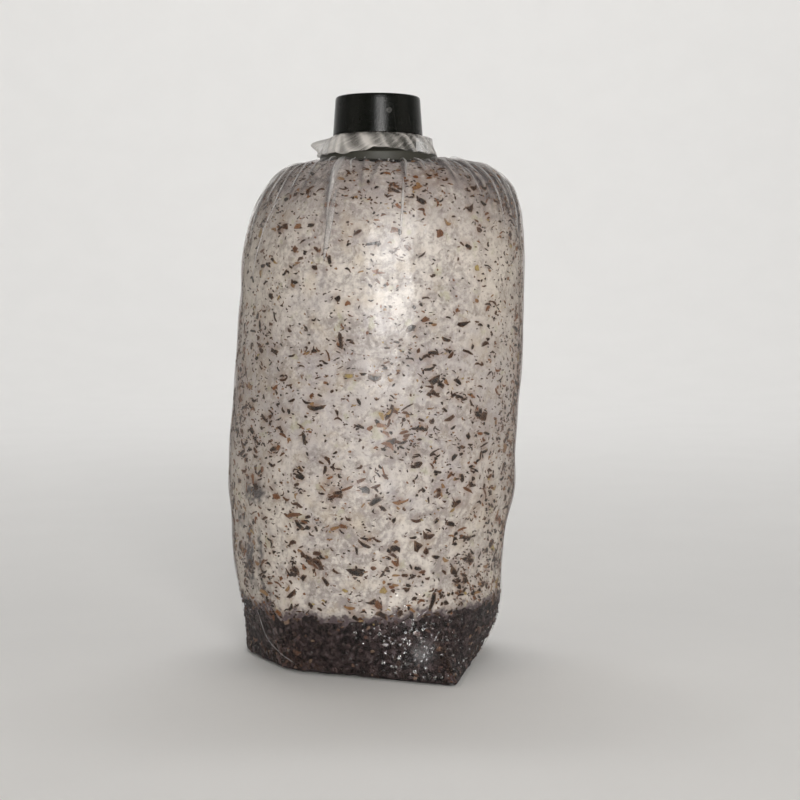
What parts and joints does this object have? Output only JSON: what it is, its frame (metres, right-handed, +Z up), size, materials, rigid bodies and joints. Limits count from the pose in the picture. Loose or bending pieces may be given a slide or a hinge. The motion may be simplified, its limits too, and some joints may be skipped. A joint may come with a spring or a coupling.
{
  "type": "oyster mushroom grow bag",
  "caption": "Clear film bag packed with white mycelium-colonised sawdust, with dark sawdust at its foot and a collar and push-on cap on its pleated neck.",
  "frame": {"origin": "on the axis of the neck collar, at the flat face that the bag stands on", "axes": "+Z up along the neck, -Y towards the front, +X to the right of someone who faces the front"},
  "size_m": [0.1202, 0.1186, 0.2275],
  "materials": {
    "clear_film": "clear thin film, glossy, with wrinkles, pleats and a light haze",
    "mycelium": "white felted mycelium over sawdust, matt, speckled with brown and black chips",
    "wet_sawdust": "dark moist sawdust, coarse grain",
    "collar_plastic": "moulded grey-green plastic, satin",
    "cap_plastic": "moulded dark plastic, satin, lightly scuffed",
    "cotton": "soft white cotton wool"
  },
  "bodies": {
    "root": {"film_bag": "clear_film", "mycelium_block": "mycelium", "sawdust_base": "wet_sawdust", "neck_collar": "collar_plastic", "cap": "cap_plastic", "cotton_plug": "cotton"}
  },
  "joints": []
}
